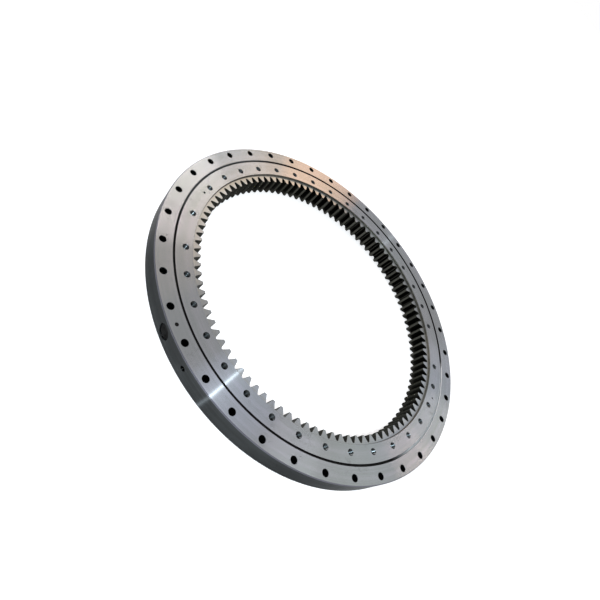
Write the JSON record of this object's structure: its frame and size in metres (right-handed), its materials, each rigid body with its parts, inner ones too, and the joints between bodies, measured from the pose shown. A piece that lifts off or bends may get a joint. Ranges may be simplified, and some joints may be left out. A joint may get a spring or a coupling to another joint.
{
  "type": "slewing ring bearing",
  "caption": "Large flat ring bearing: a drilled outer ring turns on balls round an inner ring that has gear teeth cut inside it.",
  "frame": {"origin": "centre of the inner ring's lower face, on the bearing's axis, which is the lowest plane of the part", "axes": "+Z along the bearing's axis, up out of the faces seen from above; +X through a bolt hole of each ring; the loading plug stands at 15 degrees and the first grease port at 25 degrees from +X towards +Y"},
  "size_m": [1.286, 1.286, 0.077],
  "materials": {
    "turned_steel": "turned and oiled bare steel",
    "strip_steel": "cold-rolled strip",
    "ball_steel": "lapped bearing steel",
    "plug_steel": "dark turned steel",
    "plated_steel": "yellow zinc plate",
    "seal_rubber": "greased nitrile rubber"
  },
  "bodies": {
    "inner_ring": {"inner_gear_ring": "turned_steel", "lower_seal": "seal_rubber"},
    "outer_ring": {"outer_ring": "turned_steel", "upper_seal": "seal_rubber", "loading_plug": "plug_steel", "plug_taper_pin": "plug_steel", "grease_nipple_1": "plated_steel", "grease_nipple_2": "plated_steel", "grease_nipple_3": "plated_steel", "grease_nipple_4": "plated_steel"},
    "ball_cage": {"ball_cage": "strip_steel"},
    "ball_01": {"ball_01": "ball_steel"},
    "ball_02": {"ball_02": "ball_steel"},
    "ball_03": {"ball_03": "ball_steel"},
    "ball_04": {"ball_04": "ball_steel"},
    "ball_05": {"ball_05": "ball_steel"},
    "ball_06": {"ball_06": "ball_steel"},
    "ball_07": {"ball_07": "ball_steel"},
    "ball_08": {"ball_08": "ball_steel"},
    "ball_09": {"ball_09": "ball_steel"},
    "ball_10": {"ball_10": "ball_steel"},
    "ball_11": {"ball_11": "ball_steel"},
    "ball_12": {"ball_12": "ball_steel"},
    "ball_13": {"ball_13": "ball_steel"},
    "ball_14": {"ball_14": "ball_steel"},
    "ball_15": {"ball_15": "ball_steel"},
    "ball_16": {"ball_16": "ball_steel"},
    "ball_17": {"ball_17": "ball_steel"},
    "ball_18": {"ball_18": "ball_steel"},
    "ball_19": {"ball_19": "ball_steel"},
    "ball_20": {"ball_20": "ball_steel"},
    "ball_21": {"ball_21": "ball_steel"},
    "ball_22": {"ball_22": "ball_steel"},
    "ball_23": {"ball_23": "ball_steel"},
    "ball_24": {"ball_24": "ball_steel"},
    "ball_25": {"ball_25": "ball_steel"},
    "ball_26": {"ball_26": "ball_steel"},
    "ball_27": {"ball_27": "ball_steel"},
    "ball_28": {"ball_28": "ball_steel"},
    "ball_29": {"ball_29": "ball_steel"},
    "ball_30": {"ball_30": "ball_steel"},
    "ball_31": {"ball_31": "ball_steel"},
    "ball_32": {"ball_32": "ball_steel"},
    "ball_33": {"ball_33": "ball_steel"},
    "ball_34": {"ball_34": "ball_steel"},
    "ball_35": {"ball_35": "ball_steel"},
    "ball_36": {"ball_36": "ball_steel"},
    "ball_37": {"ball_37": "ball_steel"},
    "ball_38": {"ball_38": "ball_steel"},
    "ball_39": {"ball_39": "ball_steel"},
    "ball_40": {"ball_40": "ball_steel"},
    "ball_41": {"ball_41": "ball_steel"},
    "ball_42": {"ball_42": "ball_steel"},
    "ball_43": {"ball_43": "ball_steel"},
    "ball_44": {"ball_44": "ball_steel"},
    "ball_45": {"ball_45": "ball_steel"},
    "ball_46": {"ball_46": "ball_steel"},
    "ball_47": {"ball_47": "ball_steel"},
    "ball_48": {"ball_48": "ball_steel"}
  },
  "joints": [
    {"name": "slew", "type": "hinge", "parent": "inner_ring", "child": "outer_ring", "pos_m": [0, 0, 0.04], "axis": [0, 0, 1], "continuous": true},
    {"name": "cage_turn", "type": "hinge", "parent": "inner_ring", "child": "ball_cage", "pos_m": [0, 0, 0.04], "axis": [0, 0, 1], "continuous": true},
    {"name": "ball_01_roll", "type": "hinge", "parent": "ball_cage", "child": "ball_01", "pos_m": [0.5845, 0, 0.04], "axis": [-0.7071, 0, 0.7071], "continuous": true},
    {"name": "ball_02_roll", "type": "hinge", "parent": "ball_cage", "child": "ball_02", "pos_m": [0.5795, 0.07629, 0.04], "axis": [-0.7011, -0.0923, 0.7071], "continuous": true},
    {"name": "ball_03_roll", "type": "hinge", "parent": "ball_cage", "child": "ball_03", "pos_m": [0.56458, 0.15128, 0.04], "axis": [-0.683, -0.183, 0.7071], "continuous": true},
    {"name": "ball_04_roll", "type": "hinge", "parent": "ball_cage", "child": "ball_04", "pos_m": [0.54001, 0.22368, 0.04], "axis": [-0.6533, -0.2706, 0.7071], "continuous": true},
    {"name": "ball_05_roll", "type": "hinge", "parent": "ball_cage", "child": "ball_05", "pos_m": [0.50619, 0.29225, 0.04], "axis": [-0.6124, -0.3536, 0.7071], "continuous": true},
    {"name": "ball_06_roll", "type": "hinge", "parent": "ball_cage", "child": "ball_06", "pos_m": [0.46371, 0.35582, 0.04], "axis": [-0.561, -0.4305, 0.7071], "continuous": true},
    {"name": "ball_07_roll", "type": "hinge", "parent": "ball_cage", "child": "ball_07", "pos_m": [0.4133, 0.4133, 0.04], "axis": [-0.5, -0.5, 0.7071], "continuous": true},
    {"name": "ball_08_roll", "type": "hinge", "parent": "ball_cage", "child": "ball_08", "pos_m": [0.35582, 0.46371, 0.04], "axis": [-0.4305, -0.561, 0.7071], "continuous": true},
    {"name": "ball_09_roll", "type": "hinge", "parent": "ball_cage", "child": "ball_09", "pos_m": [0.29225, 0.50619, 0.04], "axis": [-0.3536, -0.6124, 0.7071], "continuous": true},
    {"name": "ball_10_roll", "type": "hinge", "parent": "ball_cage", "child": "ball_10", "pos_m": [0.22368, 0.54001, 0.04], "axis": [-0.2706, -0.6533, 0.7071], "continuous": true},
    {"name": "ball_11_roll", "type": "hinge", "parent": "ball_cage", "child": "ball_11", "pos_m": [0.15128, 0.56458, 0.04], "axis": [-0.183, -0.683, 0.7071], "continuous": true},
    {"name": "ball_12_roll", "type": "hinge", "parent": "ball_cage", "child": "ball_12", "pos_m": [0.07629, 0.5795, 0.04], "axis": [-0.0923, -0.7011, 0.7071], "continuous": true},
    {"name": "ball_13_roll", "type": "hinge", "parent": "ball_cage", "child": "ball_13", "pos_m": [0, 0.5845, 0.04], "axis": [0, -0.7071, 0.7071], "continuous": true},
    {"name": "ball_14_roll", "type": "hinge", "parent": "ball_cage", "child": "ball_14", "pos_m": [-0.07629, 0.5795, 0.04], "axis": [0.0923, -0.7011, 0.7071], "continuous": true},
    {"name": "ball_15_roll", "type": "hinge", "parent": "ball_cage", "child": "ball_15", "pos_m": [-0.15128, 0.56458, 0.04], "axis": [0.183, -0.683, 0.7071], "continuous": true},
    {"name": "ball_16_roll", "type": "hinge", "parent": "ball_cage", "child": "ball_16", "pos_m": [-0.22368, 0.54001, 0.04], "axis": [0.2706, -0.6533, 0.7071], "continuous": true},
    {"name": "ball_17_roll", "type": "hinge", "parent": "ball_cage", "child": "ball_17", "pos_m": [-0.29225, 0.50619, 0.04], "axis": [0.3536, -0.6124, 0.7071], "continuous": true},
    {"name": "ball_18_roll", "type": "hinge", "parent": "ball_cage", "child": "ball_18", "pos_m": [-0.35582, 0.46371, 0.04], "axis": [0.4305, -0.561, 0.7071], "continuous": true},
    {"name": "ball_19_roll", "type": "hinge", "parent": "ball_cage", "child": "ball_19", "pos_m": [-0.4133, 0.4133, 0.04], "axis": [0.5, -0.5, 0.7071], "continuous": true},
    {"name": "ball_20_roll", "type": "hinge", "parent": "ball_cage", "child": "ball_20", "pos_m": [-0.46371, 0.35582, 0.04], "axis": [0.561, -0.4305, 0.7071], "continuous": true},
    {"name": "ball_21_roll", "type": "hinge", "parent": "ball_cage", "child": "ball_21", "pos_m": [-0.50619, 0.29225, 0.04], "axis": [0.6124, -0.3536, 0.7071], "continuous": true},
    {"name": "ball_22_roll", "type": "hinge", "parent": "ball_cage", "child": "ball_22", "pos_m": [-0.54001, 0.22368, 0.04], "axis": [0.6533, -0.2706, 0.7071], "continuous": true},
    {"name": "ball_23_roll", "type": "hinge", "parent": "ball_cage", "child": "ball_23", "pos_m": [-0.56458, 0.15128, 0.04], "axis": [0.683, -0.183, 0.7071], "continuous": true},
    {"name": "ball_24_roll", "type": "hinge", "parent": "ball_cage", "child": "ball_24", "pos_m": [-0.5795, 0.07629, 0.04], "axis": [0.7011, -0.0923, 0.7071], "continuous": true},
    {"name": "ball_25_roll", "type": "hinge", "parent": "ball_cage", "child": "ball_25", "pos_m": [-0.5845, 0, 0.04], "axis": [0.7071, 0, 0.7071], "continuous": true},
    {"name": "ball_26_roll", "type": "hinge", "parent": "ball_cage", "child": "ball_26", "pos_m": [-0.5795, -0.07629, 0.04], "axis": [0.7011, 0.0923, 0.7071], "continuous": true},
    {"name": "ball_27_roll", "type": "hinge", "parent": "ball_cage", "child": "ball_27", "pos_m": [-0.56458, -0.15128, 0.04], "axis": [0.683, 0.183, 0.7071], "continuous": true},
    {"name": "ball_28_roll", "type": "hinge", "parent": "ball_cage", "child": "ball_28", "pos_m": [-0.54001, -0.22368, 0.04], "axis": [0.6533, 0.2706, 0.7071], "continuous": true},
    {"name": "ball_29_roll", "type": "hinge", "parent": "ball_cage", "child": "ball_29", "pos_m": [-0.50619, -0.29225, 0.04], "axis": [0.6124, 0.3536, 0.7071], "continuous": true},
    {"name": "ball_30_roll", "type": "hinge", "parent": "ball_cage", "child": "ball_30", "pos_m": [-0.46371, -0.35582, 0.04], "axis": [0.561, 0.4305, 0.7071], "continuous": true},
    {"name": "ball_31_roll", "type": "hinge", "parent": "ball_cage", "child": "ball_31", "pos_m": [-0.4133, -0.4133, 0.04], "axis": [0.5, 0.5, 0.7071], "continuous": true},
    {"name": "ball_32_roll", "type": "hinge", "parent": "ball_cage", "child": "ball_32", "pos_m": [-0.35582, -0.46371, 0.04], "axis": [0.4305, 0.561, 0.7071], "continuous": true},
    {"name": "ball_33_roll", "type": "hinge", "parent": "ball_cage", "child": "ball_33", "pos_m": [-0.29225, -0.50619, 0.04], "axis": [0.3536, 0.6124, 0.7071], "continuous": true},
    {"name": "ball_34_roll", "type": "hinge", "parent": "ball_cage", "child": "ball_34", "pos_m": [-0.22368, -0.54001, 0.04], "axis": [0.2706, 0.6533, 0.7071], "continuous": true},
    {"name": "ball_35_roll", "type": "hinge", "parent": "ball_cage", "child": "ball_35", "pos_m": [-0.15128, -0.56458, 0.04], "axis": [0.183, 0.683, 0.7071], "continuous": true},
    {"name": "ball_36_roll", "type": "hinge", "parent": "ball_cage", "child": "ball_36", "pos_m": [-0.07629, -0.5795, 0.04], "axis": [0.0923, 0.7011, 0.7071], "continuous": true},
    {"name": "ball_37_roll", "type": "hinge", "parent": "ball_cage", "child": "ball_37", "pos_m": [0, -0.5845, 0.04], "axis": [0, 0.7071, 0.7071], "continuous": true},
    {"name": "ball_38_roll", "type": "hinge", "parent": "ball_cage", "child": "ball_38", "pos_m": [0.07629, -0.5795, 0.04], "axis": [-0.0923, 0.7011, 0.7071], "continuous": true},
    {"name": "ball_39_roll", "type": "hinge", "parent": "ball_cage", "child": "ball_39", "pos_m": [0.15128, -0.56458, 0.04], "axis": [-0.183, 0.683, 0.7071], "continuous": true},
    {"name": "ball_40_roll", "type": "hinge", "parent": "ball_cage", "child": "ball_40", "pos_m": [0.22368, -0.54001, 0.04], "axis": [-0.2706, 0.6533, 0.7071], "continuous": true},
    {"name": "ball_41_roll", "type": "hinge", "parent": "ball_cage", "child": "ball_41", "pos_m": [0.29225, -0.50619, 0.04], "axis": [-0.3536, 0.6124, 0.7071], "continuous": true},
    {"name": "ball_42_roll", "type": "hinge", "parent": "ball_cage", "child": "ball_42", "pos_m": [0.35582, -0.46371, 0.04], "axis": [-0.4305, 0.561, 0.7071], "continuous": true},
    {"name": "ball_43_roll", "type": "hinge", "parent": "ball_cage", "child": "ball_43", "pos_m": [0.4133, -0.4133, 0.04], "axis": [-0.5, 0.5, 0.7071], "continuous": true},
    {"name": "ball_44_roll", "type": "hinge", "parent": "ball_cage", "child": "ball_44", "pos_m": [0.46371, -0.35582, 0.04], "axis": [-0.561, 0.4305, 0.7071], "continuous": true},
    {"name": "ball_45_roll", "type": "hinge", "parent": "ball_cage", "child": "ball_45", "pos_m": [0.50619, -0.29225, 0.04], "axis": [-0.6124, 0.3536, 0.7071], "continuous": true},
    {"name": "ball_46_roll", "type": "hinge", "parent": "ball_cage", "child": "ball_46", "pos_m": [0.54001, -0.22368, 0.04], "axis": [-0.6533, 0.2706, 0.7071], "continuous": true},
    {"name": "ball_47_roll", "type": "hinge", "parent": "ball_cage", "child": "ball_47", "pos_m": [0.56458, -0.15128, 0.04], "axis": [-0.683, 0.183, 0.7071], "continuous": true},
    {"name": "ball_48_roll", "type": "hinge", "parent": "ball_cage", "child": "ball_48", "pos_m": [0.5795, -0.07629, 0.04], "axis": [-0.7011, 0.0923, 0.7071], "continuous": true}
  ],
  "couplings": [
    {"joint": "cage_turn", "follows": "slew", "ratio": 0.51152},
    {"joint": "ball_01_roll", "follows": "slew", "ratio": 15.333},
    {"joint": "ball_02_roll", "follows": "slew", "ratio": 15.333},
    {"joint": "ball_03_roll", "follows": "slew", "ratio": 15.333},
    {"joint": "ball_04_roll", "follows": "slew", "ratio": 15.333},
    {"joint": "ball_05_roll", "follows": "slew", "ratio": 15.333},
    {"joint": "ball_06_roll", "follows": "slew", "ratio": 15.333},
    {"joint": "ball_07_roll", "follows": "slew", "ratio": 15.333},
    {"joint": "ball_08_roll", "follows": "slew", "ratio": 15.333},
    {"joint": "ball_09_roll", "follows": "slew", "ratio": 15.333},
    {"joint": "ball_10_roll", "follows": "slew", "ratio": 15.333},
    {"joint": "ball_11_roll", "follows": "slew", "ratio": 15.333},
    {"joint": "ball_12_roll", "follows": "slew", "ratio": 15.333},
    {"joint": "ball_13_roll", "follows": "slew", "ratio": 15.333},
    {"joint": "ball_14_roll", "follows": "slew", "ratio": 15.333},
    {"joint": "ball_15_roll", "follows": "slew", "ratio": 15.333},
    {"joint": "ball_16_roll", "follows": "slew", "ratio": 15.333},
    {"joint": "ball_17_roll", "follows": "slew", "ratio": 15.333},
    {"joint": "ball_18_roll", "follows": "slew", "ratio": 15.333},
    {"joint": "ball_19_roll", "follows": "slew", "ratio": 15.333},
    {"joint": "ball_20_roll", "follows": "slew", "ratio": 15.333},
    {"joint": "ball_21_roll", "follows": "slew", "ratio": 15.333},
    {"joint": "ball_22_roll", "follows": "slew", "ratio": 15.333},
    {"joint": "ball_23_roll", "follows": "slew", "ratio": 15.333},
    {"joint": "ball_24_roll", "follows": "slew", "ratio": 15.333},
    {"joint": "ball_25_roll", "follows": "slew", "ratio": 15.333},
    {"joint": "ball_26_roll", "follows": "slew", "ratio": 15.333},
    {"joint": "ball_27_roll", "follows": "slew", "ratio": 15.333},
    {"joint": "ball_28_roll", "follows": "slew", "ratio": 15.333},
    {"joint": "ball_29_roll", "follows": "slew", "ratio": 15.333},
    {"joint": "ball_30_roll", "follows": "slew", "ratio": 15.333},
    {"joint": "ball_31_roll", "follows": "slew", "ratio": 15.333},
    {"joint": "ball_32_roll", "follows": "slew", "ratio": 15.333},
    {"joint": "ball_33_roll", "follows": "slew", "ratio": 15.333},
    {"joint": "ball_34_roll", "follows": "slew", "ratio": 15.333},
    {"joint": "ball_35_roll", "follows": "slew", "ratio": 15.333},
    {"joint": "ball_36_roll", "follows": "slew", "ratio": 15.333},
    {"joint": "ball_37_roll", "follows": "slew", "ratio": 15.333},
    {"joint": "ball_38_roll", "follows": "slew", "ratio": 15.333},
    {"joint": "ball_39_roll", "follows": "slew", "ratio": 15.333},
    {"joint": "ball_40_roll", "follows": "slew", "ratio": 15.333},
    {"joint": "ball_41_roll", "follows": "slew", "ratio": 15.333},
    {"joint": "ball_42_roll", "follows": "slew", "ratio": 15.333},
    {"joint": "ball_43_roll", "follows": "slew", "ratio": 15.333},
    {"joint": "ball_44_roll", "follows": "slew", "ratio": 15.333},
    {"joint": "ball_45_roll", "follows": "slew", "ratio": 15.333},
    {"joint": "ball_46_roll", "follows": "slew", "ratio": 15.333},
    {"joint": "ball_47_roll", "follows": "slew", "ratio": 15.333},
    {"joint": "ball_48_roll", "follows": "slew", "ratio": 15.333}
  ]
}
